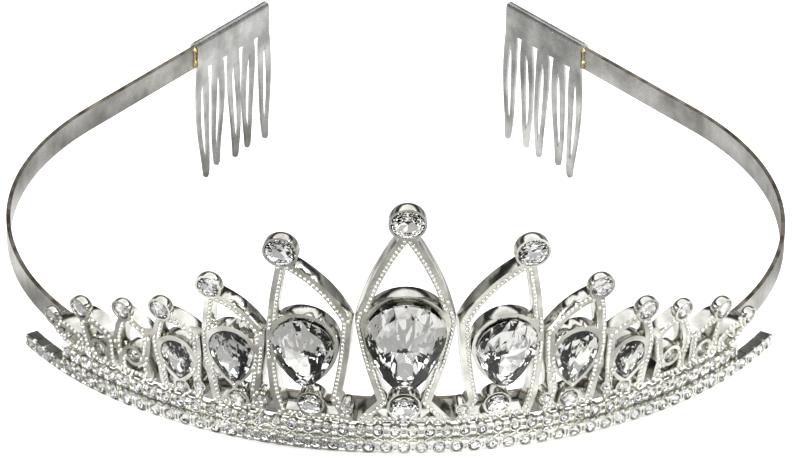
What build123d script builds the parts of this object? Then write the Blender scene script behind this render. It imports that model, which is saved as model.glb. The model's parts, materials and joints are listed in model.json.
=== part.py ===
from build123d import *
import os
from math import atan2, cos, degrees, radians, sin, tan
from types import SimpleNamespace

# A rhinestone tiara: a springy steel head strip, open at the back, ends in two hair combs.
# In front it carries thirteen jewelled peaks over two rows of small stones.
#
# Everything is drawn in the strip's own frame: the ring's centre is the origin, the front is at
# -Y, and Z = 0 is the lower edge of the stone rows. Pieces called right lie on the +X side, the
# right-hand side seen from the front and the wearer's left. Angles round the ring are measured
# from the front. At the end the tiara is tilted to stand on a table.

os.makedirs("parts", exist_ok=True)

# ---- head strip ------------------------------------------------------------------------------
BAND_RADIUS = 70.0        # centreline of the round stretch
ROUND_END = 125.0         # angle where the round stretch becomes straight
TAIL_LENGTH = 57.5        # straight end of each arm
STRIP_WIDTH = 4.8
STRIP_THICKNESS = 0.8
STRIP_BOTTOM = 3.1
STRIP_TOP = STRIP_BOTTOM + STRIP_WIDTH
FLEX_ANGLE = 61.0         # where each arm springs, just past the jewelled front
FLEX_GAP = 0.05

# ---- combs -----------------------------------------------------------------------------------
COMB_LENGTH = 24.0
COMB_SHEET = 0.5
COMB_DROP = 21.0          # how far the teeth reach below Z = 0
TEETH = 5
TOOTH_PITCH = COMB_LENGTH / TEETH
GAP_WIDTH = 1.5           # between neighbouring teeth at their roots
PLATE_HEIGHT = 5.6        # of the plain sheet above the teeth
PLATE_BOTTOM = STRIP_TOP - PLATE_HEIGHT
FIT = 0.02                # nominal solder gap between touching pieces
BRAZE_WIDTH = 0.7

# ---- rows of small stones --------------------------------------------------------------------
CUP_STEP = 2.25           # angle between neighbouring cups
CHAIN_RADIUS = 74.1       # middle of the lower row's square cups
CHAIN_CUP = (2.7, 2.2, 2.3)   # along the row, front to back, height
CHAIN_CUP_ROUND = 0.7     # of the cups' lower corners, which makes the row's edge scalloped
CHAIN_COUNT = 53
ROW_COUNT = 46
ROW_CUP_DIAMETER = 2.15
ROW_STONE_DIAMETER = 1.8
CHAIN_STONE_DIAMETER = 2.1
ROW_HEIGHT = 3.42         # middle of the upper row's round cups
ROW_BACK = 72.6
ROW_DEPTH = 1.5
SEAT_DEPTH = 0.7          # how deep a small stone sits in its cup

# ---- jewelled peaks --------------------------------------------------------------------------
FLARE = 10.0              # outward lean of the peaks
PEAK_DEPTH = 2.6
ROW_TOP = ROW_HEIGHT + ROW_CUP_DIAMETER / 2
# Radius of the back plane at Z = 0. It meets the strip's outer face level with the upper row's top.
PEAK_BACK = BAND_RADIUS + STRIP_THICKNESS / 2 - ROW_TOP * tan(radians(FLARE))
# Height up the sloping plane where the legs stand on the upper row.
FOOT = (ROW_TOP + FIT + PEAK_DEPTH * sin(radians(FLARE))) / cos(radians(FLARE))
WAIST = 9.8               # height where the legs of the tall peaks draw in, if below their shoulder
RIBBON = 1.6              # width of a leg seen from the front
BEZEL = 0.7               # wall round a jewel
CUP_WALL = 0.4
FLOOR = 0.8               # metal left behind a stone
LOWER_BOW = 0.02          # outward bow of a leg below its shoulder, as a share of its rise
UPPER_BOW = 0.13          # outward bow of a leg above its shoulder, as a share of its sideways run
LEG_MEET = 0.8            # where the legs meet below a tip cup's centre, as a share of its radius
TIP_PROUD = 0.4           # how far a tip cup stands before the legs
TIP_DEPTH = 0.5           # depth of a tip cup, as a share of its diameter
TIP_ROUND = 0.3           # rounding of its back edge, as a share of its diameter
TIP_SEAT = 0.5            # how deep the tip stone's seat is sunk in the casting
ROUND_SEAT = 0.4          # the same for the smaller round stones
FOOT_CUPS = (1, 2, 3)     # peaks with a small cup at their inner foot, counted from the centre
FOOT_CUP_DIAMETER = 2.3
FOOT_STONE_DIAMETER = 1.9
FOOT_CUP_HEIGHT = 8.0
CROWN_SCALE = 0.6         # a stone's flat table, as a share of its girdle


def peak_shape(angle, tip, tip_cup, jewel, jewel_at, shoulder, waist, feet, under=None, under_at=None):
    """One peak's sizes. Positions are (sideways, up) on its own sloping plane."""
    return SimpleNamespace(
        angle=angle,            # round the ring
        tip=tip,                # centre of the tip cup
        tip_cup=tip_cup,        # its diameter
        jewel=jewel,            # (width, height) of a pear, or a round stone's diameter
        jewel_at=jewel_at,      # height of the jewel's centre
        shoulder=shoulder,      # heights of the inner and the outer shoulder
        waist=waist,            # inner and outer leg at the waist, as shares of the shoulder's reach
        feet=feet,              # inner and outer foot, as shares of the same
        under=under,            # diameter of the round stone below the jewel
        under_at=under_at,
    )


# Centre first, then outwards. Each side peak has a twin on the other side.
PEAKS = [
    peak_shape(
        angle=0.0, tip=(0.0, 47.0), tip_cup=6.3, jewel=(13.4, 18.4), jewel_at=21.9,
        shoulder=(26.4, 26.4), waist=(0.53, 0.53), feet=(0.94, 0.94), under=5.0, under_at=(0.0, 8.6),
    ),
    peak_shape(
        angle=12.8, tip=(3.0, 39.8), tip_cup=6.0, jewel=(10.6, 13.8), jewel_at=19.3,
        shoulder=(26.4, 22.0), waist=(0.7, 0.96), feet=(0.94, 0.8), under=4.0, under_at=(-0.8, 8.4),
    ),
    peak_shape(
        angle=22.5, tip=(2.9, 30.0), tip_cup=4.7, jewel=(8.0, 10.8), jewel_at=15.8,
        shoulder=(22.0, 18.4), waist=(0.72, 0.9), feet=(0.85, 0.8), under=3.2, under_at=(-0.4, 7.1),
    ),
    peak_shape(
        angle=30.6, tip=(2.1, 22.4), tip_cup=4.4, jewel=(6.4, 8.0), jewel_at=12.2,
        shoulder=(18.4, 15.0), waist=(0.85, 0.9), feet=(0.85, 0.85), under=2.4, under_at=(-0.2, 6.7),
    ),
    peak_shape(
        angle=38.0, tip=(0.8, 19.2), tip_cup=4.0, jewel=2.8, jewel_at=9.8,
        shoulder=(15.0, 11.6), waist=(0.72, 0.84), feet=(0.8, 0.9),
    ),
    peak_shape(
        angle=44.4, tip=(3.1, 15.2), tip_cup=4.3, jewel=2.8, jewel_at=7.8,
        shoulder=(11.6, 7.9), waist=(0.95, 0.95), feet=(0.9, 0.9),
    ),
    peak_shape(
        angle=50.1, tip=(5.2, 9.4), tip_cup=3.4, jewel=2.5, jewel_at=6.9,
        shoulder=(7.9, 6.4), waist=(0.95, 0.95), feet=(0.9, 0.9),
    ),
]


def outward(angle):
    """Unit vector away from the ring's centre at an angle from the front."""
    return Vector(sin(radians(angle)), -cos(radians(angle)), 0)


def along(angle):
    """Unit vector along the ring, away from the front on the +X side."""
    return Vector(cos(radians(angle)), sin(radians(angle)), 0)


def ring_plane(angle, radius, height=0.0, flare=0.0):
    """Plane across the ring's radius: x runs along the ring, y up, and its normal outwards."""
    normal = outward(angle) * cos(radians(flare)) - Vector(0, 0, sin(radians(flare)))
    return Plane(origin=outward(angle) * radius + Vector(0, 0, height), x_dir=along(angle), z_dir=normal)


# ---- head strip, in three stretches ----------------------------------------------------------
flex_point = outward(FLEX_ANGLE) * BAND_RADIUS
end_round = STRIP_THICKNESS / 2
front_half_angle = FLEX_ANGLE - degrees((end_round + FLEX_GAP) / BAND_RADIUS)

with BuildPart() as headband_front:
    with BuildSketch(Plane.XY.offset(STRIP_BOTTOM)):
        with BuildLine():
            CenterArc((0, 0), BAND_RADIUS, 270 - front_half_angle, 2 * front_half_angle)
        trace(line_width=STRIP_THICKNESS)
    extrude(amount=STRIP_WIDTH)

with BuildPart() as headband_right_arm:
    with BuildSketch(Plane.XY.offset(STRIP_BOTTOM)):
        with BuildLine():
            bend = CenterArc((0, 0), BAND_RADIUS, 270 + FLEX_ANGLE, ROUND_END - FLEX_ANGLE)
            Line(bend @ 1, bend @ 1 + (bend % 1) * TAIL_LENGTH)
        trace(line_width=STRIP_THICKNESS)
        with Locations((flex_point.X, flex_point.Y)):
            Circle(end_round)
    extrude(amount=STRIP_WIDTH)

with BuildPart() as headband_left_arm:
    mirror(headband_right_arm.part, about=Plane.YZ)

# ---- combs, folded over the ends of the strip ------------------------------------------------
tail_end = outward(ROUND_END) * BAND_RADIUS + along(ROUND_END) * TAIL_LENGTH
# On the comb's plane x runs forwards from the strip's end, y is up and the normal points inwards.
comb_plane = Plane(origin=tail_end, x_dir=-along(ROUND_END), z_dir=-outward(ROUND_END))
# On the fold's plane x runs outwards across the strip, y is up and the normal points forwards.
fold_plane = Plane(origin=tail_end, x_dir=outward(ROUND_END), z_dir=-along(ROUND_END))
flap_inner = STRIP_THICKNESS / 2 + FIT
flap_outer = flap_inner + COMB_SHEET
fold_height = STRIP_TOP + FIT


def tooth(x):
    """A leaf-shaped tooth hanging from the plate at x, with a long lens-shaped slot in it."""
    root = (TOOTH_PITCH - GAP_WIDTH) / 2
    belly = root + 0.3
    tip = 0.8
    belly_height = -4.0
    top = PLATE_BOTTOM + 1.0
    slot_top = PLATE_BOTTOM - 3.0
    slot_bottom = 5.0 - COMB_DROP
    slot_half = 0.75
    with BuildSketch() as shape:
        with BuildLine():
            Line((x - root, top), (x + root, top))
            right = Spline((x + root, top), (x + belly, belly_height), (x + tip, tip - COMB_DROP))
            left = Spline((x - root, top), (x - belly, belly_height), (x - tip, tip - COMB_DROP))
            ThreePointArc(right @ 1, (x, -COMB_DROP), left @ 1)
        make_face()
        with BuildLine():
            ThreePointArc((x, slot_top), (x - slot_half, (slot_top + slot_bottom) / 2), (x, slot_bottom))
            ThreePointArc((x, slot_bottom), (x + slot_half, (slot_top + slot_bottom) / 2), (x, slot_top))
        make_face(mode=Mode.SUBTRACT)
    return shape.sketch


teeth = [tooth((number + 0.5) * TOOTH_PITCH) for number in range(TEETH)]

with BuildPart() as right_comb:
    with BuildSketch(comb_plane.offset(flap_inner)):
        with Locations((COMB_LENGTH / 2, (PLATE_BOTTOM + fold_height) / 2)):
            Rectangle(COMB_LENGTH, fold_height - PLATE_BOTTOM)
        add(teeth)
    extrude(amount=COMB_SHEET)
    # The fold runs over the strip's top edge, and a flap lies on the strip's outer face.
    with BuildSketch(fold_plane):
        with BuildLine():
            Polyline(
                (-flap_outer, fold_height),
                (-flap_inner, fold_height),
                (flap_inner, fold_height),
                (flap_inner, STRIP_BOTTOM),
                (flap_outer, STRIP_BOTTOM),
                (flap_outer, fold_height),
            )
            fold_top = (0, fold_height + COMB_SHEET)
            ThreePointArc((flap_outer, fold_height), fold_top, (-flap_outer, fold_height))
        make_face()
    extrude(amount=COMB_LENGTH)

with BuildPart() as left_comb:
    mirror(right_comb.part, about=Plane.YZ)

with BuildPart() as right_comb_braze:
    with BuildSketch(comb_plane.offset(flap_inner)):
        with Locations((COMB_LENGTH + FIT + BRAZE_WIDTH / 2, (STRIP_BOTTOM + STRIP_TOP) / 2)):
            Rectangle(BRAZE_WIDTH, STRIP_WIDTH)
    extrude(amount=COMB_SHEET)

with BuildPart() as left_comb_braze:
    mirror(right_comb_braze.part, about=Plane.YZ)


# ---- stones ----------------------------------------------------------------------------------
def stone_heights(width):
    """Depth of the straight girdle and rise of the sloping crown for a stone's width."""
    return 0.12 * width + 0.2, 0.16 * width


def pear_outline(width, height):
    """Teardrop with its round end up and its point down, centred on its box."""
    radius = width / 2
    drop = height - radius
    middle = height / 2 - radius
    upper, lower = middle - 0.5 * drop, middle - 0.85 * drop
    with BuildSketch() as shape:
        with BuildLine():
            ThreePointArc((-radius, middle), (0, height / 2), (radius, middle))
            Bezier((radius, middle), (radius, upper), (0.3 * radius, lower), (0, -height / 2))
            Bezier((0, -height / 2), (-0.3 * radius, lower), (-radius, upper), (-radius, middle))
        make_face()
    return shape.sketch


def round_outline(diameter):
    """Plain disc."""
    with BuildSketch() as shape:
        Circle(diameter / 2)
    return shape.sketch


def stone(outline, table, width):
    """Stone standing on the XY plane: a girdle with the given outline, and a crown up to its table."""
    girdle, crown = stone_heights(width)
    with BuildPart() as gem:
        with BuildSketch():
            add(outline)
        extrude(amount=girdle)
        with BuildSketch(Plane.XY.offset(girdle)):
            add(outline)
        with BuildSketch(Plane.XY.offset(girdle + crown)):
            add(table)
        loft()
    return gem.part


def round_stone(diameter):
    """Round stone on the XY plane."""
    return stone(round_outline(diameter), round_outline(diameter * CROWN_SCALE), diameter)


def pear_stone(width, height):
    """Pear-cut stone on the XY plane."""
    table = pear_outline(width * CROWN_SCALE, height * CROWN_SCALE)
    return stone(pear_outline(width, height), table, width)


# ---- lower row: square cups soldered side by side --------------------------------------------
cup_length, cup_depth, cup_height = CHAIN_CUP
chain_half_angle = CUP_STEP * (CHAIN_COUNT - 1) / 2
chain_angles = [CUP_STEP * number - chain_half_angle for number in range(CHAIN_COUNT)]
chain_back = CHAIN_RADIUS - cup_depth / 2
chain_front = CHAIN_RADIUS + cup_depth / 2
chain_cups = [ring_plane(angle, chain_back, cup_height / 2) for angle in chain_angles]
chain_seats = [cup.offset(cup_depth - SEAT_DEPTH) for cup in chain_cups]
base_up = (Align.CENTER, Align.CENTER, Align.MIN)

with BuildPart() as chain_cup:
    with BuildSketch():
        Rectangle(cup_length, cup_height)
        fillet(vertices().group_by(Axis.Y)[0], CHAIN_CUP_ROUND)
    extrude(amount=cup_depth)

with BuildPart() as lower_cup_chain:
    with Locations(*chain_cups):
        add(chain_cup.part)
    # A strip behind the seats joins the cups.
    with BuildSketch(Plane.XY.offset(cup_height / 4)):
        with BuildLine():
            CenterArc((0, 0), chain_back + cup_depth / 4, 270 - chain_half_angle, 2 * chain_half_angle)
        trace(line_width=cup_depth / 4)
    extrude(amount=cup_height / 2)
    with Locations(*chain_seats):
        Cylinder(CHAIN_STONE_DIAMETER / 2 + FIT, SEAT_DEPTH, align=base_up, mode=Mode.SUBTRACT)

with BuildPart() as lower_row_stones:
    with Locations(*chain_seats):
        add(round_stone(CHAIN_STONE_DIAMETER))

# ---- upper row: round cups on a thin rail, between the cups of the lower row -----------------
row_half_angle = CUP_STEP * (ROW_COUNT - 1) / 2
row_angles = [CUP_STEP * number - row_half_angle for number in range(ROW_COUNT)]
row_cups = [ring_plane(angle, ROW_BACK, ROW_HEIGHT) for angle in row_angles]
row_seats = [cup.offset(ROW_DEPTH - SEAT_DEPTH) for cup in row_cups]
rail_height = ROW_CUP_DIAMETER / 2

with BuildPart() as upper_cup_row:
    with Locations(*row_cups):
        Cylinder(ROW_CUP_DIAMETER / 2, ROW_DEPTH, align=base_up)
    with BuildSketch(Plane.XY.offset(ROW_HEIGHT - rail_height / 2)):
        with BuildLine():
            CenterArc((0, 0), ROW_BACK + ROW_DEPTH / 4, 270 - row_half_angle, 2 * row_half_angle)
        trace(line_width=ROW_DEPTH / 2)
    extrude(amount=rail_height)
    with Locations(*row_seats):
        Cylinder(ROW_STONE_DIAMETER / 2 + FIT, SEAT_DEPTH, align=base_up, mode=Mode.SUBTRACT)

with BuildPart() as upper_row_stones:
    with Locations(*row_seats):
        add(round_stone(ROW_STONE_DIAMETER))


# ---- peaks, each drawn flat: x sideways and away from the centre, y up, z outwards -----------
def peak_plane(peak):
    """Back plane of a peak."""
    return ring_plane(peak.angle, PEAK_BACK, 0.0, FLARE)


def half_width(gap, height):
    """Sideways room at a height on a peak's plane, up to the middle of a gap angle."""
    return (PEAK_BACK + height * sin(radians(FLARE))) * tan(radians(gap / 2)) - FIT


def gaps(number):
    """Angles from a peak to its inner and to its outer neighbour."""
    steps = [outer.angle - inner.angle for inner, outer in zip(PEAKS, PEAKS[1:])]
    return steps[max(number - 1, 0)], steps[min(number, len(steps) - 1)]


def reaches(number):
    """How far a peak's inner and outer shoulders reach sideways to meet its neighbours'."""
    return [half_width(gap, height) for gap, height in zip(gaps(number), PEAKS[number].shoulder)]


def leg(peak, side, reach, height, waist_share, foot_share):
    """Ribbon from the splayed foot in to the waist, out to the shoulder and bowing on to the tip."""
    inset = RIBBON / 2
    foot = (side * (reach * foot_share - inset), FOOT + inset)
    waist = (side * (reach * waist_share - inset), min(WAIST, (foot[1] + height) / 2))
    shoulder = (side * (reach - inset), height)
    tip = (peak.tip[0], peak.tip[1] - LEG_MEET * peak.tip_cup / 2)
    with BuildSketch() as shape:
        with BuildLine():
            Line(foot, waist)
        trace(line_width=RIBBON)
        with BuildLine():
            SagittaArc(waist, shoulder, -side * LOWER_BOW * (shoulder[1] - waist[1]))
        trace(line_width=RIBBON)
        with BuildLine():
            SagittaArc(shoulder, tip, -side * UPPER_BOW * abs(tip[0] - shoulder[0]))
        trace(line_width=RIBBON)
        with Locations(foot, waist, shoulder):
            Circle(inset)
    return shape.sketch


def jewel_outline(peak, margin=0.0):
    """Outline of a peak's main jewel, grown by a margin."""
    if isinstance(peak.jewel, tuple):
        width, height = peak.jewel
        return pear_outline(width + 2 * margin, height + 3 * margin)
    return round_outline(peak.jewel + 2 * margin)


def jewel_stone(peak):
    """A peak's main jewel, standing on the XY plane."""
    if isinstance(peak.jewel, tuple):
        return pear_stone(*peak.jewel)
    return round_stone(peak.jewel)


def jewel_place(peak):
    """Seat of a peak's main jewel on its own drawing."""
    return Location((0, peak.jewel_at, FLOOR))


def tip_stone_diameter(peak):
    """The stone that fills a tip cup's wall."""
    return peak.tip_cup - 2 * CUP_WALL


def tip_cup(diameter):
    """Cup with a rounded back, standing on the XY plane."""
    with BuildPart() as cup:
        Cylinder(diameter / 2, TIP_DEPTH * diameter, align=base_up)
        fillet(cup.edges().sort_by(Axis.Z)[0], TIP_ROUND * diameter)
    return cup.part


def tip_place(peak):
    """Seat of the stone in a tip cup."""
    return Location((*peak.tip, PEAK_DEPTH - TIP_SEAT))


def under_place(peak):
    """Seat of the round stone below a pear jewel."""
    return Location((*peak.under_at, PEAK_DEPTH - ROUND_SEAT))


def foot_cup_at(number):
    """Centre of the small cup at a peak's inner foot."""
    room = half_width(gaps(number)[0], FOOT_CUP_HEIGHT - FOOT_CUP_DIAMETER / 2)
    return FOOT_CUP_DIAMETER / 2 - room, FOOT_CUP_HEIGHT


def foot_place(number):
    """Seat of the stone in the small cup at a peak's inner foot."""
    return Location((*foot_cup_at(number), PEAK_DEPTH - ROUND_SEAT))


def peak_casting(number):
    """Loop, tip cup and settings of one peak, cast in one piece."""
    peak = PEAKS[number]
    inner, outer = reaches(number)
    legs = [
        leg(peak, -1, inner, peak.shoulder[0], peak.waist[0], peak.feet[0]),
        leg(peak, 1, outer, peak.shoulder[1], peak.waist[1], peak.feet[1]),
    ]
    bridge_left = -(inner * peak.feet[0] - RIBBON / 2)
    bridge_right = outer * peak.feet[1] - RIBBON / 2
    with BuildPart() as casting:
        with BuildSketch():
            add(legs)
            add(Location((0, peak.jewel_at)) * jewel_outline(peak, BEZEL))
            # The foot bar joins both legs where they stand on the upper row.
            with Locations(((bridge_left + bridge_right) / 2, FOOT + RIBBON / 2)):
                Rectangle(bridge_right - bridge_left, RIBBON)
            if peak.under:
                with Locations(peak.under_at):
                    Circle(peak.under / 2 + CUP_WALL)
            if number in FOOT_CUPS:
                with Locations(foot_cup_at(number)):
                    Circle(FOOT_CUP_DIAMETER / 2)
        extrude(amount=PEAK_DEPTH)
        tip_back = PEAK_DEPTH + TIP_PROUD - TIP_DEPTH * peak.tip_cup
        add(Location((*peak.tip, tip_back)) * tip_cup(peak.tip_cup))
        with BuildSketch(Plane.XY.offset(FLOOR)):
            add(Location((0, peak.jewel_at)) * jewel_outline(peak, FIT))
        extrude(amount=PEAK_DEPTH, mode=Mode.SUBTRACT)
        with Locations(tip_place(peak)):
            Cylinder(tip_stone_diameter(peak) / 2 + FIT, PEAK_DEPTH, align=base_up, mode=Mode.SUBTRACT)
        if peak.under:
            with Locations(under_place(peak)):
                Cylinder(peak.under / 2 + FIT, PEAK_DEPTH, align=base_up, mode=Mode.SUBTRACT)
        if number in FOOT_CUPS:
            with Locations(foot_place(number)):
                Cylinder(FOOT_STONE_DIAMETER / 2 + FIT, PEAK_DEPTH, align=base_up, mode=Mode.SUBTRACT)
    return casting.part


with BuildPart() as right_foot_stones:
    for number in FOOT_CUPS:
        add(peak_plane(PEAKS[number]).location * foot_place(number) * round_stone(FOOT_STONE_DIAMETER))

with BuildPart() as foot_stones:
    add(right_foot_stones.part)
    mirror(right_foot_stones.part, about=Plane.YZ)


# ---- stand on the table and write every piece ------------------------------------------------
pieces = {
    "headband_front": headband_front.part,
    "headband_right_arm": headband_right_arm.part,
    "headband_left_arm": headband_left_arm.part,
    "right_comb": right_comb.part,
    "left_comb": left_comb.part,
    "right_comb_braze": right_comb_braze.part,
    "left_comb_braze": left_comb_braze.part,
    "lower_cup_chain": lower_cup_chain.part,
    "lower_row_stones": lower_row_stones.part,
    "upper_cup_row": upper_cup_row.part,
    "upper_row_stones": upper_row_stones.part,
    "foot_stones": foot_stones.part,
}


def both_sides(piece, number):
    """A piece and, away from the centre, its twin on the other side."""
    if number == 0:
        return {"centre": piece}
    return {f"right_{number}": piece, f"left_{number}": mirror(piece, about=Plane.YZ)}


for number, peak in enumerate(PEAKS):
    place = peak_plane(peak).location
    jewels = place * jewel_place(peak) * jewel_stone(peak)
    tips = place * tip_place(peak) * round_stone(tip_stone_diameter(peak))
    for side, piece in both_sides(place * peak_casting(number), number).items():
        pieces[f"peak_{side}"] = piece
    for side, piece in both_sides(jewels, number).items():
        pieces[f"jewel_{side}"] = piece
    for side, piece in both_sides(tips, number).items():
        pieces[f"tip_stone_{side}"] = piece
    if peak.under:
        lower = place * under_place(peak) * round_stone(peak.under)
        for side, piece in both_sides(lower, number).items():
            pieces[f"lower_stone_{side}"] = piece

# It rests on the front edge of the lower row and on the combs' foremost teeth.
comb_front = tail_end - along(ROUND_END) * COMB_LENGTH
stance = degrees(atan2(COMB_DROP, comb_front.Y + chain_front))
tilt = Location((0, 0, 0), (stance, 0, 0))
standing = {name: tilt * piece for name, piece in pieces.items()}
box = Compound(list(standing.values())).bounding_box()
shift = Location((0, -box.center().Y, -box.min.Z))

for name, piece in standing.items():
    placed = shift * piece
    placed.label = name
    export_step(placed, f"parts/{name}.step")
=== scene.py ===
import json
from math import atan2, cos, degrees, pi, radians, sin, sqrt
from random import Random

import bmesh
import bpy
import numpy as np
from mathutils import Matrix, Vector
from mathutils.geometry import tessellate_polygon


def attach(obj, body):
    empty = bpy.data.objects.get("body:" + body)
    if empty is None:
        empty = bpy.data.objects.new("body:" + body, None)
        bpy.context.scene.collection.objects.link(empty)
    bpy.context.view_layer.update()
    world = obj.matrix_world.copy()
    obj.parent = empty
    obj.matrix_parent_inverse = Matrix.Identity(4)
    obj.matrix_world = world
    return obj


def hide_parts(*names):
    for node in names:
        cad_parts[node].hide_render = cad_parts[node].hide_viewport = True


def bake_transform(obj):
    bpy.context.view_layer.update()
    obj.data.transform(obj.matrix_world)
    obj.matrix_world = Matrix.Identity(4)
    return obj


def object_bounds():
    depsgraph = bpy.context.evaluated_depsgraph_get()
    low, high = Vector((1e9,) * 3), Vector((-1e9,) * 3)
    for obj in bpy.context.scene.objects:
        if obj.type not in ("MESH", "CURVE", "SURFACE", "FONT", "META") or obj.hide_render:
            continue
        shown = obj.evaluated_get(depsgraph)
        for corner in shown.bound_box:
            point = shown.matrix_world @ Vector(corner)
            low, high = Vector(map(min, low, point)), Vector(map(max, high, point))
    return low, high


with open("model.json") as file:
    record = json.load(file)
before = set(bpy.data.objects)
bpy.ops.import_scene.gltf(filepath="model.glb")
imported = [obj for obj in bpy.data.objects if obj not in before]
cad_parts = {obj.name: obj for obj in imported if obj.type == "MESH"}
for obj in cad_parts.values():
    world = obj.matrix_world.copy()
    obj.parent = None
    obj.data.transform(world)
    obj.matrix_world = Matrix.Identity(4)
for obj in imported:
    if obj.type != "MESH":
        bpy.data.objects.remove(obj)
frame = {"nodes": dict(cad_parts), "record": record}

# A rhinestone tiara. Shapes are drawn in millimetres in the head strip's own frame: the ring's
# centre is the origin, the front is at -Y and +Z runs up the strip. RING turns that into the
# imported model's frame. Angles round the ring are measured from the front, towards +X.

cad_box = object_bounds()

# ---- sizes shared with the CAD model, in millimetres -----------------------------------------
MM = 0.001
BAND_RADIUS = 70.0
ROUND_END = 125.0         # angle where the arms become straight
TAIL_LENGTH = 57.5
STRIP_WIDTH = 4.8
STRIP_THICKNESS = 0.8
STRIP_BOTTOM = 3.1
STRIP_TOP = STRIP_BOTTOM + STRIP_WIDTH
BASE_RADIUS = 74.1        # ring radius of the base mount
FLARE = 10.0              # outward lean of the peaks
TIP_PROUD = 0.4           # how far a tip cup stands before the legs' front face
COMB_LENGTH = 24.0
COMB_SHEET = 0.5
COMB_DROP = 21.0          # how far the teeth reach below the ring's plane
TEETH = 5
TOOTH_GAP = 1.5
PLATE_BOTTOM = STRIP_TOP - 5.6
CUP_STEP = 2.25           # angle between neighbouring small stones
SIDES = {"right": 1, "left": -1}

CLEAR = 0.02              # gap between touching pieces

cad_nodes = frame["nodes"]
record = frame["record"]


def ring_matrix():
    """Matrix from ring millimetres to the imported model's metres, read off the base mount."""
    base = next(mount for mount in record["mounts"] if mount["name"] == "base_underside")
    right = Vector((1, 0, 0))
    up = -Vector(base["axis"]).normalized()
    back = up.cross(right)
    turn = Matrix((right, back, up)).transposed().to_4x4()
    centre = Vector(base["pos_m"]) + back * BASE_RADIUS * MM
    return Matrix.Translation(centre) @ turn @ Matrix.Scale(MM, 4)


RING = ring_matrix()


def outward(angle):
    """Unit vector away from the ring's centre."""
    return Vector((sin(radians(angle)), -cos(radians(angle)), 0))


def along(angle):
    """Unit vector along the ring, away from the front on the +X side."""
    return Vector((cos(radians(angle)), sin(radians(angle)), 0))


def panel(angle, flare=0.0):
    """Frame at the ring's centre: x along the ring, y up a plane that leans by flare, z outwards."""
    normal = outward(angle) * cos(radians(flare)) - Vector((0, 0, sin(radians(flare))))
    side = along(angle)
    return Matrix((side, normal.cross(side), normal)).transposed().to_4x4()


# ---- mesh helpers ----------------------------------------------------------------------------
class Shape:
    """Points and faces gathered in ring millimetres, then turned into one piece."""

    def __init__(self):
        self.points = []
        self.faces = []
        self.slots = []

    def add(self, points, faces, matrix=Matrix(), slots=None):
        """Adds a mesh placed by a matrix, with each face's material slot. Mirroring turns faces over."""
        start = len(self.points)
        self.points += [matrix @ Vector(point) for point in points]
        mirrored = matrix.determinant() < 0
        for face in faces:
            corners = [start + corner for corner in face]
            self.faces.append(corners[::-1] if mirrored else corners)
        self.slots += slots or [0] * len(faces)

    def piece(self, name, materials, slot, smooth=True):
        """The finished object."""
        mesh = bpy.data.meshes.new(name)
        mesh.from_pydata([RING @ point for point in self.points], [], self.faces)
        for material in materials:
            mesh.materials.append(material)
        mesh.polygons.foreach_set("material_index", self.slots)
        mesh.polygons.foreach_set("use_smooth", [smooth] * len(self.faces))
        if smooth:
            mesh.set_sharp_from_angle(angle=radians(60))
        mesh.validate()
        made = bpy.data.objects.new(name, mesh)
        bpy.context.scene.collection.objects.link(made)
        return made


def tube_faces(stations, around, closed_ends=True):
    """Faces of a skin over stations of equally many points, with flat ends."""
    faces = []
    for station in range(stations - 1):
        for side in range(around):
            near, far = station * around, (station + 1) * around
            other = (side + 1) % around
            faces.append((near + side, near + other, far + other, far + side))
    if closed_ends:
        faces.append(tuple(range(around))[::-1])
        faces.append(tuple(range((stations - 1) * around, stations * around)))
    return faces


def dome(radius, height):
    """Points and faces of a low round bead standing on the XY plane, sunk a little below it."""
    around, rows = 8, 3
    points = []
    for row in range(rows):
        tilt = pi / 2 * row / rows
        for step in range(around):
            turn = 2 * pi * step / around
            reach = radius * cos(tilt)
            points.append((reach * cos(turn), reach * sin(turn), height * sin(tilt)))
    skirt = [(x, y, -0.3 * height) for x, y, z in points[:around]]
    points = skirt + points + [(0, 0, height)]
    faces = tube_faces(rows + 1, around, closed_ends=False)
    last = rows * around
    top = len(points) - 1
    faces += [(last + step, last + (step + 1) % around, top) for step in range(around)]
    faces.append(tuple(range(around))[::-1])
    return points, faces


def mesh_points(node):
    """A CAD node's corners in ring millimetres."""
    back = RING.inverted()
    return [back @ vertex.co for vertex in cad_nodes[node].data.vertices]


def merged_faces(node):
    """A CAD node's faces with corners that stand in one place counted as one, and those places."""
    keys = {}
    places = []
    numbers = []
    for point in mesh_points(node):
        key = tuple(round(value, 3) for value in point)
        if key not in keys:
            keys[key] = len(places)
            places.append(point)
        numbers.append(keys[key])
    faces = [[numbers[corner] for corner in polygon.vertices] for polygon in cad_nodes[node].data.polygons]
    return faces, places


def loose_parts(node):
    """The corner places of each separate solid in a CAD node."""
    faces, places = merged_faces(node)
    parent = list(range(len(places)))

    def root(corner):
        while parent[corner] != corner:
            parent[corner] = parent[parent[corner]]
            corner = parent[corner]
        return corner

    for face in faces:
        for corner in face[1:]:
            parent[root(corner)] = root(face[0])
    groups = {}
    for corner, place in enumerate(places):
        groups.setdefault(root(corner), []).append(place)
    return list(groups.values())


def extent(points):
    """Lowest and highest corner of some points."""
    values = np.array([tuple(point) for point in points])
    return Vector(values.min(0)), Vector(values.max(0))


# ---- materials -------------------------------------------------------------------------------
def node_material(name):
    """A new node material, its nodes and its links."""
    material = bpy.data.materials.new(name)
    material.use_nodes = True
    return material, material.node_tree.nodes, material.node_tree.links


def ramp(tree, source, stops):
    """A colour ramp fed by a socket."""
    made = tree.new("ShaderNodeValToRGB")
    elements = made.color_ramp.elements
    while len(elements) < len(stops):
        elements.new(0.5)
    for element, (position, colour) in zip(elements, stops):
        element.position = position
        element.color = (*colour, 1)
    tree.id_data.links.new(source, made.inputs["Fac"])
    return made.outputs["Color"]


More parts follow.
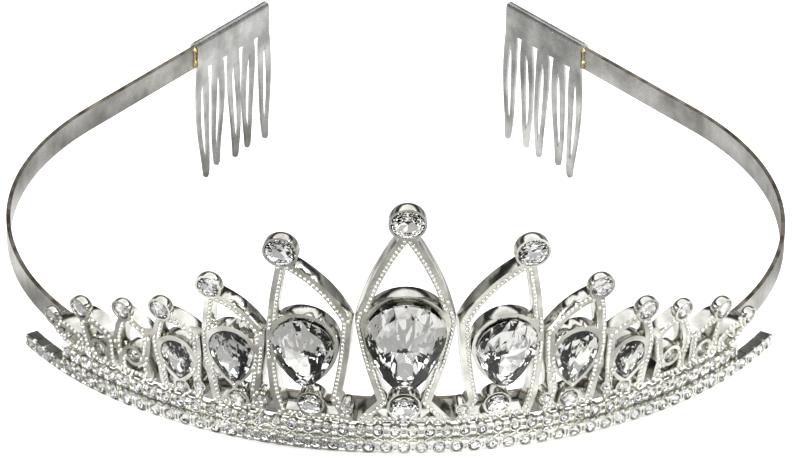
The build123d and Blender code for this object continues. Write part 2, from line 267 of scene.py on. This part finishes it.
def noise(tree, scale, detail=3.0, stretch=(1, 1, 1)):
    """Noise over the object's own space, in cycles per metre."""
    place = tree.new("ShaderNodeTexCoord")
    mapping = tree.new("ShaderNodeMapping")
    mapping.inputs["Scale"].default_value = stretch
    made = tree.new("ShaderNodeTexNoise")
    made.inputs["Scale"].default_value = scale
    made.inputs["Detail"].default_value = detail
    tree.id_data.links.new(place.outputs["Object"], mapping.inputs["Vector"])
    tree.id_data.links.new(mapping.outputs["Vector"], made.inputs["Vector"])
    return made.outputs["Fac"]


def roughness_from(tree, source, low, high):
    """A roughness between two limits, from a value between 0 and 1."""
    made = tree.new("ShaderNodeMapRange")
    made.inputs["To Min"].default_value = low
    made.inputs["To Max"].default_value = high
    tree.id_data.links.new(source, made.inputs["Value"])
    return made.outputs["Result"]


def bump_from(tree, source, strength, distance):
    """A bump normal from a height value."""
    made = tree.new("ShaderNodeBump")
    made.inputs["Strength"].default_value = strength
    made.inputs["Distance"].default_value = distance
    tree.id_data.links.new(source, made.inputs["Height"])
    return made.outputs["Normal"]


def metal(name, dark, light, patches, rough, grain, bump, stretch=(1, 1, 1)):
    """Metal with patches of two tints, uneven roughness and a fine surface grain."""
    material, tree, links = node_material(name)
    shader = tree["Principled BSDF"]
    shader.inputs["Metallic"].default_value = 1.0
    tint = noise(tree, patches)
    links.new(ramp(tree, tint, [(0.35, dark), (0.65, light)]), shader.inputs["Base Color"])
    fine = noise(tree, grain, stretch=stretch)
    links.new(roughness_from(tree, fine, *rough), shader.inputs["Roughness"])
    links.new(bump_from(tree, fine, bump, 0.00005), shader.inputs["Normal"])
    return material


def glass_material():
    """Clear lead glass with the faintest warm and cool veins."""
    material, tree, links = node_material("crystal_glass")
    shader = tree["Principled BSDF"]
    shader.inputs["Transmission Weight"].default_value = 1.0
    shader.inputs["IOR"].default_value = 1.56
    shader.inputs["Roughness"].default_value = 0.0
    veins = noise(tree, 350.0)
    tint = ramp(tree, veins, [(0.3, (0.97, 0.98, 1.0)), (0.7, (1.0, 0.985, 0.96))])
    links.new(tint, shader.inputs["Base Color"])
    return material


def foil_material():
    """Mirror foil behind a rhinestone, seen through the glass."""
    material, tree, links = node_material("mirror_foil")
    shader = tree["Principled BSDF"]
    shader.inputs["Metallic"].default_value = 1.0
    shader.inputs["Roughness"].default_value = 0.03
    clouds = noise(tree, 260.0)
    tint = ramp(tree, clouds, [(0.3, (0.86, 0.87, 0.9)), (0.7, (0.95, 0.94, 0.91))])
    links.new(tint, shader.inputs["Base Color"])
    return material


plated = metal("plated_silver", (0.52, 0.51, 0.46), (0.84, 0.83, 0.78), 260.0, (0.06, 0.2), 2500.0, 0.15)
cups_metal = metal("cup_silver", (0.62, 0.62, 0.57), (0.86, 0.86, 0.82), 240.0, (0.1, 0.28), 2500.0, 0.2)
bead_metal = metal("bead_silver", (0.74, 0.74, 0.69), (0.93, 0.93, 0.89), 300.0, (0.06, 0.16), 3000.0, 0.1)
strip_metal = metal(
    "brushed_strip", (0.34, 0.33, 0.31), (0.66, 0.65, 0.63), 150.0, (0.18, 0.4), 900.0, 0.4, (1, 1, 14)
)
# Dark metal for the strip's narrow rounded edges: painted shade standing in for the dark reflections along
# them.
painted_shade_edge_metal = metal("strip_edge_painted_shade", (0.1, 0.08, 0.06), (0.4, 0.36, 0.3), 260.0, (0.3, 0.5), 1500.0, 0.3)
comb_metal = metal("satin_comb", (0.38, 0.38, 0.37), (0.7, 0.7, 0.69), 190.0, (0.2, 0.38), 1500.0, 0.3)
brass = metal("braze", (0.46, 0.34, 0.15), (0.7, 0.58, 0.33), 500.0, (0.25, 0.45), 1800.0, 0.4)
glass = glass_material()
foil = foil_material()


# ---- head strip ------------------------------------------------------------------------------
def strip_section():
    """Rounded rectangle across the strip: (outwards, up) from its centre."""
    half_thickness, half_width, corner = STRIP_THICKNESS / 2, STRIP_WIDTH / 2, 0.3
    section = []
    for right, top, start in ((1, 1, 0), (-1, 1, 90), (-1, -1, 180), (1, -1, 270)):
        for step in range(5):
            turn = radians(start + 22.5 * step)
            x = right * (half_thickness - corner) + corner * cos(turn)
            y = top * (half_width - corner) + corner * sin(turn)
            section.append((x, y))
    return section


def strip_half(side):
    """One half of the head strip, from the front to the end of its straight tail."""
    section = strip_section()
    middle = (STRIP_BOTTOM + STRIP_TOP) / 2
    stations = [(angle, 0.0) for angle in np.linspace(0, ROUND_END, 60)]
    stations += [(ROUND_END, length) for length in np.linspace(0, TAIL_LENGTH, 15)[1:]]
    points = []
    for angle, length in stations:
        for out, up in section:
            place = outward(angle) * (BAND_RADIUS + out) + along(angle) * length
            points.append(place + Vector((0, 0, middle + up)))
    faces = [face[::-1] for face in tube_faces(len(stations), len(section))]
    # The strip's two broad faces are the last of each half turn round its section.
    broad = (len(section) // 2 - 1, len(section) - 1)
    # Every other face, the rounded edges and the ends, takes the dark edge metal: painted shade for their
    # dark reflections.
    slots = [0 if number % len(section) in broad else 1 for number in range(len(faces))]
    half = Shape()
    half.add(points, faces, Matrix.Scale(side, 4, (1, 0, 0)), slots)
    return half


def build_strip():
    """Both halves of the strip, in place of its front and arms."""
    for name, side in SIDES.items():
        half = strip_half(side).piece(f"headband_{name}_half", [strip_metal, painted_shade_edge_metal], "spring_steel")
        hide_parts("headband_front", f"headband_{name}_arm")
        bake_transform(half)


build_strip()

# ---- combs -----------------------------------------------------------------------------------
TOOTH_ROOT = (COMB_LENGTH / TEETH - TOOTH_GAP) / 2    # half a tooth's width at the plate
TOOTH_TIP = 0.8           # radius of a tooth's rounded tip
BELLY_HEIGHT = -6.5       # where a tooth is widest
TOOTH_STEP = (COMB_LENGTH - 2 * TOOTH_ROOT) / (TEETH - 1)
SHEET_RADIUS = STRIP_THICKNESS / 2 + CLEAR + COMB_SHEET / 2   # middle of the sheet, round the fold
FOLD_CENTRE = STRIP_TOP + CLEAR - STRIP_THICKNESS / 2
FOLD_LENGTH = pi * SHEET_RADIUS
FLAP_END = FOLD_CENTRE + FOLD_LENGTH + FOLD_CENTRE - STRIP_BOTTOM
TAIL_END = outward(ROUND_END) * BAND_RADIUS + along(ROUND_END) * TAIL_LENGTH


def on_tail(x, inwards, height):
    """Place x back from the strip's end, towards the ring's inside, at a height."""
    return TAIL_END - along(ROUND_END) * x - outward(ROUND_END) * inwards + Vector((0, 0, height))


def curve_through(start, middle, end, steps):
    """Points on a smooth curve through three points, without the last."""
    points = []
    for step in range(steps):
        t = step / steps
        weights = (2 * (t - 0.5) * (t - 1), -4 * t * (t - 1), 2 * t * (t - 0.5))
        x, y = (sum(w * place[axis] for w, place in zip(weights, (start, middle, end))) for axis in (0, 1))
        points.append((x, y))
    return points


def tooth_outline(x):
    """Right edge, rounded tip and left edge of a tooth hanging at x."""
    root, belly, tip = TOOTH_ROOT, TOOTH_ROOT + 0.3, TOOTH_TIP
    tip_height = tip - COMB_DROP
    down = curve_through((x + root, PLATE_BOTTOM), (x + belly, BELLY_HEIGHT), (x + tip, tip_height), 16)
    turns = [radians(angle) for angle in range(0, -180, -20)]
    round_tip = [(x + tip * cos(turn), tip_height + tip * sin(turn)) for turn in turns]
    up = curve_through((x - tip, tip_height), (x - belly, BELLY_HEIGHT), (x - root, PLATE_BOTTOM), 16)
    return down + round_tip + up + [(x - root, PLATE_BOTTOM)]


def slot_outline(x):
    """Long lens-shaped slot in a tooth."""
    top, bottom, half = PLATE_BOTTOM - 2.6, 4.0 - COMB_DROP, 0.72
    outline = []
    for step in range(24):
        turn = 2 * pi * step / 24
        outline.append((x + half * sin(turn), (top + bottom) / 2 + (top - bottom) / 2 * cos(turn)))
    return outline


def folded(x, unrolled, offset):
    """Where a point of the flat sheet lies once the sheet is folded over the strip."""
    turn = min(max((unrolled - FOLD_CENTRE) / SHEET_RADIUS, 0.0), pi)
    inwards = (SHEET_RADIUS + offset) * cos(turn)
    height = FOLD_CENTRE + (SHEET_RADIUS + offset) * sin(turn)
    if unrolled < FOLD_CENTRE:
        height -= FOLD_CENTRE - unrolled
        # Teeth are thin sheet, so each waves and leans a little in its own way.
        depth = max(PLATE_BOTTOM - unrolled, 0.0) / (PLATE_BOTTOM + COMB_DROP)
        number = round((x - TOOTH_ROOT) / TOOTH_STEP)
        inwards += 0.7 * sin(3.1 * number + 1.0) * depth ** 2
        inwards += 0.35 * sin(5.5 * depth + 2.3 * number) * depth
        x += 0.25 * sin(1.7 * number) * depth ** 2
    elif turn >= pi:
        height -= unrolled - FOLD_CENTRE - FOLD_LENGTH
    return on_tail(x, inwards, height)


def flat_comb():
    """Outline and slots of the comb's sheet before it is folded, as (x, unrolled height)."""
    outline = [(0.0, FLAP_END)]
    places = [TOOTH_ROOT + TOOTH_STEP * number for number in range(TEETH)]
    for x in places:
        outline += tooth_outline(x)[::-1]
    outline += [(COMB_LENGTH, FLAP_END)]
    slots = [slot_outline(x) for x in places]
    return outline, slots


def sliced(faces, points, heights):
    """Cuts a flat mesh along level lines, so that it can bend there."""
    work = bmesh.new()
    made = [work.verts.new((x, y, 0)) for x, y in points]
    for face in faces:
        work.faces.new([made[corner] for corner in face])
    for height in heights:
        geometry = work.verts[:] + work.edges[:] + work.faces[:]
        bmesh.ops.bisect_plane(work, geom=geometry, plane_co=(0, height, 0), plane_no=(0, 1, 0))
    work.verts.index_update()
    cut_points = [(vertex.co.x, vertex.co.y) for vertex in work.verts]
    cut_faces = [[vertex.index for vertex in face.verts] for face in work.faces]
    rims = []
    for edge in work.edges:
        if len(edge.link_faces) == 1:
            loop = edge.link_loops[0]
            rims.append((loop.vert.index, loop.link_loop_next.vert.index))
    work.free()
    return cut_points, cut_faces, rims


def comb(side):
    """Stamped sheet comb, folded over the end of the strip."""
    outline, slots = flat_comb()
    loops = [[Vector((x, y, 0)) for x, y in loop] for loop in [outline] + slots]
    triangles = tessellate_polygon(loops)
    points = [(vector.x, vector.y) for loop in loops for vector in loop]
    upright = []
    for triangle in triangles:
        (ax, ay), (bx, by), (cx, cy) = (points[corner] for corner in triangle)
        turn = (bx - ax) * (cy - ay) - (by - ay) * (cx - ax)
        upright.append(triangle if turn > 0 else triangle[::-1])
    fold_lines = [FOLD_CENTRE + FOLD_LENGTH * step / 10 for step in range(11)]
    tooth_lines = list(np.linspace(PLATE_BOTTOM, 1.5 - COMB_DROP, 16))    # the last lies near the tips
    points, faces, rims = sliced(upright, points, fold_lines + tooth_lines)
    half = COMB_SHEET / 2
    inner = [folded(x, height, half) for x, height in points]
    outer = [folded(x, height, -half) for x, height in points]
    count = len(points)
    body = [list(face) for face in faces]
    body += [[corner + count for corner in face[::-1]] for face in faces]
    body += [[second, first, first + count, second + count] for first, second in rims]
    made = Shape()
    made.add(inner + outer, body, Matrix.Scale(side, 4, (1, 0, 0)))
    return made


def braze_bead(side):
    """Lumpy bead of brass solder down the comb's front edge."""
    inner_face = STRIP_THICKNESS / 2 + CLEAR
    middle = COMB_LENGTH + 0.37
    width, thickness = 0.42, 0.55
    stations, around = 28, 8
    points = []
    for station in range(stations):
        t = station / (stations - 1)
        height = STRIP_BOTTOM + 0.1 + (STRIP_WIDTH - 0.2) * t
        swell = (0.75 + 0.2 * sin(9 * t) + 0.12 * sin(23 * t + 1)) * sqrt(max(1 - (2 * t - 1) ** 6, 0.05))
        for step in range(around):
            turn = pi * step / (around - 1)
            x = middle + width * swell * cos(turn)
            inwards = inner_face + thickness * swell * sin(turn)
            points.append(on_tail(x, inwards, height))
    made = Shape()
    made.add(points, tube_faces(stations, around), Matrix.Scale(side, 4, (1, 0, 0)))
    return made


def bevel(piece, width):
    """Joins a piece's coinciding corners and rounds its sharp edges, where there is room."""
    weld = piece.modifiers.new("weld", "WELD")
    weld.merge_threshold = 0.002 * MM
    made = piece.modifiers.new("bevel", "BEVEL")
    made.width = width * MM
    made.segments = 2
    made.limit_method = "ANGLE"
    made.angle_limit = radians(35)
    made.use_clamp_overlap = True


def build_combs():
    """Combs and their brazed seams, on the arms."""
    for name, side in SIDES.items():
        sheet = comb(side).piece(f"comb_{name}", [comb_metal], "comb_steel", smooth=False)
        bevel(sheet, 0.12)
        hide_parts(f"{name}_comb")
        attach(sheet, f"{name}_arm")
        bead = braze_bead(side).piece(f"comb_braze_{name}", [brass], "braze")
        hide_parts(f"{name}_comb_braze")
        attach(bead, f"{name}_arm")


build_combs()


# ---- cut stones ------------------------------------------------------------------------------
TABLE = 0.56              # a stone's flat top, as a share of its girdle


def round_edge(width, height):
    """Outline of a round stone: a function of a turn from 0 to 1, round its centre."""
    return lambda turn: Vector((sin(2 * pi * turn) * width / 2, cos(2 * pi * turn) * height / 2, 0))


def pear_edge(width, height):
    """Outline of a pear stone, starting from its round top."""
    radius = width / 2
    middle = height / 2 - radius
    drop = height - radius

    def edge(turn):
        angle = 2 * pi * turn
        x, y = radius * sin(angle), radius * cos(angle)
        if y > 0:
            return Vector((x, middle + y, 0))
        fall = -y / radius
        return Vector((x * (1 - 0.12 * fall), middle - drop * fall ** 1.35, 0))

    return edge


def cut_stone(edge, focus, sides, depth, girdle, crown):
    """Brilliant cut: points, faces and each face's slot (0 glass, 1 foil).

    The culet is at height 0, the girdle's lower edge at depth, and the table above them all.
    """
    def ring(count, share, height, offset=0.0):
        points = []
        for step in range(count):
            place = focus + (edge((step + offset) / count) - focus) * share
            points.append((place.x, place.y, height))
        return points

    top = depth + girdle + crown
    table_ring = ring(sides, TABLE, top)
    star_ring = ring(sides, (1 + TABLE) / 2 + 0.06, depth + girdle + 0.52 * crown, 0.5)
    upper = ring(2 * sides, 1.0, depth + girdle)
    lower = ring(2 * sides, 1.0, depth)
    middle = ring(sides, 0.7, 0.52 * depth, 0.5)
    deep = ring(sides, 0.36, 0.24 * depth, 0.0)
    points = table_ring + star_ring + upper + lower + middle + deep + [(focus.x, focus.y, 0)]
    star, high = sides, 2 * sides
    low, back = high + 2 * sides, high + 4 * sides
    inner = back + sides
    culet = inner + sides
    faces = [tuple(range(sides))[::-1]]
    slots = [0]
    for step in range(sides):
        after = (step + 1) % sides
        first, second, third = 2 * step, 2 * step + 1, (2 * step + 2) % (2 * sides)
        crown_faces = [
            (step, after, star + step),
            (after, high + third, star + step),
            (after, star + after, high + third),
            (star + step, high + second, high + first),
            (star + step, high + third, high + second),
            (high + first, high + second, low + second, low + first),
            (high + second, high + third, low + third, low + second),
        ]
        foil_faces = [
            (back + step, low + first, low + second),
            (back + step, low + second, low + third),
            (back + step, low + third, back + after),
            (inner + step, back + step, inner + after),
            (back + step, back + after, inner + after),
            (inner + step, inner + after, culet),
        ]
        faces += crown_faces + foil_faces
        slots += [0] * len(crown_faces) + [1] * len(foil_faces)
    return points, faces, slots


def ring_angle(points):
    """Angle round the ring of the middle of some points' box."""
    low, high = extent(points)
    centre = (low + high) / 2
    return degrees(atan2(centre.x, -centre.y))


def panel_extent(points, angle, flare):
    """Lowest and highest corner of some points on the panel at an angle."""
    back = panel(angle, flare).inverted()
    return extent([back @ point for point in points])


PEAK_SIDES = ["centre"] + [f"{side}_{number}" for number in range(1, 7) for side in SIDES]


def peak_angle(side):
    """Angle of a peak round the ring, where its main jewel stands."""
    return ring_angle(mesh_points(f"jewel_{side}"))


def fitted_stone(low, high, sides, crown_share):
    """A cut stone that fills a box, round or pear-shaped by the box's proportions."""
    width, height = high.x - low.x, high.y - low.y
    thickness = high.z - low.z
    girdle = 0.05 * thickness
    crown = crown_share * thickness
    depth = thickness - girdle - crown
    if height > 1.15 * width:
        edge = pear_edge(width, height)
        focus = Vector((0, -0.1 * height, 0))
    else:
        edge = round_edge(width, height)
        focus = Vector((0, 0, 0))
    return cut_stone(edge, focus, sides, depth, girdle, crown)


def jewel(node, angle, sides, crown_share):
    """Replaces one CAD stone with a faceted, foil-backed one."""
    low, high = panel_extent(mesh_points(node), angle, FLARE)
    centre = (low + high) / 2
    place = panel(angle, FLARE) @ Matrix.Translation((centre.x, centre.y, low.z))
    points, faces, slots = fitted_stone(low, high, sides, crown_share)
    shape = Shape()
    shape.add(points, faces, place, slots)
    made = shape.piece(f"cut_{node}", [glass, foil], "crystal", smooth=False)
    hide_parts(node)
    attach(made, "ornament")


def build_jewels():
    """Main, tip and lower stones of every peak."""
    for side in PEAK_SIDES:
        angle = peak_angle(side)
        jewel(f"jewel_{side}", angle, 10, 0.26)
        jewel(f"tip_stone_{side}", angle, 8, 0.6)
        if f"lower_stone_{side}" in cad_nodes:
            jewel(f"lower_stone_{side}", angle, 8, 0.5)


def build_stone_group(node, flare):
    """Replaces a group of small round stones, each set a little crooked, facing outwards."""
    shape = Shape()
    chance = Random(node)
    for part in loose_parts(node):
        angle = ring_angle(part)
        low, high = panel_extent(part, angle, flare)
        centre = (low + high) / 2
        place = panel(angle, flare) @ Matrix.Translation((centre.x, centre.y, low.z))
        turn = Matrix.Rotation(chance.uniform(0, 2 * pi), 4, "Z")
        lean = Matrix.Rotation(radians(chance.uniform(-9, 9)), 4, "X")
        points, faces, slots = fitted_stone(low, high, 7, 0.5)
        shape.add(points, faces, place @ lean @ turn, slots)
    made = shape.piece(f"cut_{node}", [glass, foil], "crystal", smooth=False)
    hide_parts(node)
    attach(made, "ornament")


build_jewels()
build_stone_group("lower_row_stones", 0.0)
build_stone_group("upper_row_stones", 0.0)
build_stone_group("foot_stones", FLARE)

# ---- beaded edges of the peaks ---------------------------------------------------------------
BEAD = 0.4                # bead radius
BEAD_INSET = 0.45         # of a row of beads from the edge
BEAD_PITCH = 0.86
BEZEL_RIM = 0.75          # width of the polished rim over a jewel


def front_loops(node, angle):
    """Directed edges round a casting's front face on its panel, and that face's depth."""
    back = panel(angle, FLARE).inverted()
    faces, places = merged_faces(node)
    flat = [back @ place for place in places]
    front = max(point.z for point in flat) - TIP_PROUD
    used = {}                 # directed edges of the front face, in order
    for face in faces:
        if all(abs(flat[corner].z - front) < 0.02 for corner in face):
            used.update(dict.fromkeys(zip(face, face[1:] + face[:1])))
    rim = {first: second for first, second in used if (second, first) not in used}
    loops = []
    while rim:
        first, second = rim.popitem()
        loop = [first]
        while second != first and second in rim:
            loop.append(second)
            second = rim.pop(second)
        loops.append([flat[corner].to_2d() for corner in loop])
    return loops, front


def edge_distance(point, starts, spans, lengths):
    """Distance from a point to the nearest of many straight edges."""
    reach = point - starts
    share = np.clip((reach * spans).sum(1) / lengths, 0, 1)
    return np.sqrt(((reach - spans * share[:, None]) ** 2).sum(1)).min()


def bead_places(loops, rim_centre, rim_radius):
    """Bead centres in rows just inside a face's edges, clear of the edges and of each other.

    The upper half of a jewel's setting is polished and stays without beads.
    """
    starts = np.array([tuple(point) for loop in loops for point in loop])
    ends = np.array([tuple(point) for loop in loops for point in loop[1:] + loop[:1]])
    spans = ends - starts
    lengths = np.maximum((spans ** 2).sum(1), 1e-9)
    placed = []
    for loop in loops:
        walked = 0.0
        for first, second in zip(loop, loop[1:] + loop[:1]):
            span = second - first
            if span.length < 1e-4:
                continue
            left = Vector((-span.y, span.x)) / span.length
            while walked < span.length:
                centre = first + span * (walked / span.length) + left * BEAD_INSET
                walked += BEAD_PITCH / 4
                here = np.array(tuple(centre))
                if centre.y > rim_centre.y and (centre - rim_centre).length < rim_radius:
                    continue
                if edge_distance(here, starts, spans, lengths) < 0.8 * BEAD_INSET:
                    continue
                if placed and np.sqrt(((np.array(placed) - here) ** 2).sum(1)).min() < 0.97 * BEAD_PITCH:
                    continue
                placed.append(here)
            walked -= span.length
    return placed


def build_beads():
    """Rows of cast beads on the front of every peak."""
    points, faces = dome(BEAD, BEAD)
    for side in PEAK_SIDES:
        angle = peak_angle(side)
        loops, front = front_loops(f"peak_{side}", angle)
        low, high = panel_extent(mesh_points(f"jewel_{side}"), angle, FLARE)
        radius = (high.x - low.x) / 2
        rim_centre = Vector(((low.x + high.x) / 2, high.y - radius))
        shape = Shape()
        for place in bead_places(loops, rim_centre, radius + BEZEL_RIM):
            shape.add(points, faces, panel(angle, FLARE) @ Matrix.Translation((place[0], place[1], front)))
        made = shape.piece(f"beading_{side}", [bead_metal], "plated_casting")
        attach(made, "ornament")


def finish_castings():
    """Rounded edges and plated metal on the CAD castings and cup rows."""
    for side in PEAK_SIDES:
        casting = cad_nodes[f"peak_{side}"]
        casting.data.materials.clear()
        casting.data.materials.append(plated)
        bevel(casting, 0.18)
    for name in ("lower_cup_chain", "upper_cup_row"):
        cad_nodes[name].data.materials.clear()
        cad_nodes[name].data.materials.append(cups_metal)
        bevel(cad_nodes[name], 0.15)


finish_castings()
build_beads()

# ---- prongs of the stone rows ----------------------------------------------------------------
PRONG = 0.42              # prong radius
PRONG_TURN = 0.42 * CUP_STEP    # to each side of its stone
PRONG_HEIGHT = 0.72       # over and under the stone's middle, as a share of its radius
PRONG_SINK = 0.35         # behind the stone's table


def build_prongs():
    """Small round prongs that hold the stones of both rows, between neighbours."""
    for node in ("lower_row_stones", "upper_row_stones"):
        shape = Shape()
        chance = Random(node)
        for part in loose_parts(node):
            angle = ring_angle(part)
            low, high = panel_extent(part, angle, 0.0)
            middle = (low.y + high.y) / 2
            half = (high.y - low.y) / 2
            for turn in (-PRONG_TURN, PRONG_TURN):
                for up in (-PRONG_HEIGHT, PRONG_HEIGHT):
                    size = PRONG * chance.uniform(0.85, 1.15)
                    spot = (0, middle + up * half, high.z - PRONG_SINK)
                    shape.add(*dome(size, 1.1 * size), panel(angle + turn) @ Matrix.Translation(spot))
        made = shape.piece(f"prongs_{node}", [bead_metal], "cup_metal")
        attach(made, "ornament")


build_prongs()


# ---- studio ----------------------------------------------------------------------------------
def by_camera_ray(tree, seen_input, other_input):
    """Mixes two colours: the first for what the camera sees directly, the second for the rest."""
    path = tree.new("ShaderNodeLightPath")
    mix = tree.new("ShaderNodeMix")
    mix.data_type = "RGBA"
    links = tree.id_data.links
    links.new(path.outputs["Is Camera Ray"], mix.inputs["Factor"])
    for name, given in (("A", other_input), ("B", seen_input)):
        if isinstance(given, tuple):
            mix.inputs[name].default_value = given
        else:
            links.new(given, mix.inputs[name])
    return mix.outputs["Result"]


def build_floor():
    """Pale floor at the height the tiara stands on; metal and glass see it as cards of light."""
    points = [(-3, -3, 0), (3, -3, 0), (3, 3, 0), (-3, 3, 0)]
    mesh = bpy.data.meshes.new("floor")
    mesh.from_pydata(points, [], [(0, 1, 2, 3)])
    floor = bpy.data.objects.new("floor", mesh)
    floor.location.z = cad_box[0].z - 0.0002
    bpy.context.scene.collection.objects.link(floor)
    material, tree, links = node_material("pale_floor")
    shader = tree["Principled BSDF"]
    pale, duller = (0.93, 0.93, 0.93, 1), (0.3, 0.3, 0.29, 1)
    links.new(by_camera_ray(tree, pale, duller), shader.inputs["Base Color"])
    cards = ramp(tree, noise(tree, 11.0, 1.0), [(0.46, grey(0.0)), (0.54, grey(1.2))])
    links.new(by_camera_ray(tree, (1, 1, 1, 1), cards), shader.inputs["Emission Color"])
    shader.inputs["Roughness"].default_value = 0.9
    shader.inputs["Specular IOR Level"].default_value = 0.0
    shader.inputs["Emission Strength"].default_value = 0.55
    mesh.materials.append(material)


def grey(value):
    """Neutral light of a brightness."""
    return (value, value, value)


def build_world():
    """Soft room: a bright ceiling and side panels over dark gaps, and white for the camera."""
    world = bpy.data.worlds.new("studio")
    bpy.context.scene.world = world
    world.use_nodes = True
    tree = world.node_tree.nodes
    links = world.node_tree.links
    place = tree.new("ShaderNodeTexCoord")
    split = tree.new("ShaderNodeSeparateXYZ")
    links.new(place.outputs["Generated"], split.inputs["Vector"])
    lift = tree.new("ShaderNodeMapRange")
    lift.inputs["From Min"].default_value = -1.0
    links.new(split.outputs["Z"], lift.inputs["Value"])
    front = ramp(tree, lift.outputs["Result"], [
        (0.0, grey(0.5)), (0.48, grey(0.4)), (0.51, grey(0.01)), (0.59, grey(0.01)), (0.63, grey(3.6)),
        (0.68, grey(3.8)), (0.73, grey(0.02)), (0.83, grey(0.02)), (0.87, grey(1.9)), (1.0, grey(1.0)),
    ])
    back = ramp(tree, lift.outputs["Result"], [
        (0.0, grey(0.5)), (0.5, grey(0.35)), (0.53, grey(0.12)), (0.64, grey(0.3)), (0.7, grey(0.4)),
        (0.74, grey(0.03)), (0.84, grey(0.03)), (0.89, grey(1.4)), (1.0, grey(1.1)),
    ])
    turn = tree.new("ShaderNodeMapRange")
    turn.inputs["From Min"].default_value = -0.6
    turn.inputs["From Max"].default_value = 0.1
    links.new(split.outputs["Y"], turn.inputs["Value"])
    mix = tree.new("ShaderNodeMix")
    mix.data_type = "RGBA"
    links.new(turn.outputs["Result"], mix.inputs["Factor"])
    links.new(front, mix.inputs["A"])
    links.new(back, mix.inputs["B"])
    seen = by_camera_ray(tree, (1, 1, 1, 1), mix.outputs["Result"])
    links.new(seen, tree["Background"].inputs["Color"])


def area_light(name, place, target, size, power):
    """Soft box that looks at a target."""
    data = bpy.data.lights.new(name, "AREA")
    data.size = size
    data.energy = power
    lamp = bpy.data.objects.new(name, data)
    lamp.location = place
    lamp.rotation_mode = "QUATERNION"
    lamp.rotation_quaternion = (Vector(target) - Vector(place)).to_track_quat("-Z", "Y")
    bpy.context.scene.collection.objects.link(lamp)


def build_camera():
    """Camera in front and above, looking down on the strip's ring."""
    azimuth, elevation, roll, distance = -1.4, 27.6, 0.7, 775.0
    target = Vector((0.16, 0.0, 2.7))
    level = cos(radians(elevation))
    view = Vector((-sin(radians(azimuth)) * level, cos(radians(azimuth)) * level, -sin(radians(elevation))))
    right = view.cross(Vector((0, 0, 1))).normalized()
    above = right.cross(view)
    turn = Matrix((right, above, -view)).transposed().to_4x4()
    place = RING @ Matrix.Translation(target - view * distance) @ turn
    camera = bpy.data.objects.new("camera", bpy.data.cameras.new("camera"))
    camera.data.lens = 193.6
    camera.data.sensor_width = 36.0
    camera.data.clip_start = 0.05
    camera.data.clip_end = 20.0
    where, spin, _ = place.decompose()
    tilted = spin.to_matrix().to_4x4() @ Matrix.Rotation(radians(roll), 4, "Z")
    camera.matrix_world = Matrix.Translation(where) @ tilted
    bpy.context.scene.collection.objects.link(camera)
    bpy.context.scene.camera = camera


build_floor()
build_world()
area_light("key", (-0.5, -0.5, 0.9), (0, 0, 0.02), 0.1, 5)
area_light("fill", (0.6, -0.2, 0.7), (0, 0, 0.02), 0.1, 4)
area_light("low_left", (-0.7, -0.8, 0.25), (0, 0, 0.02), 0.08, 2.5)
area_light("low_right", (0.5, -0.9, 0.3), (0, 0, 0.02), 0.08, 2.5)
build_camera()
bpy.context.scene.view_settings.view_transform = "Standard"
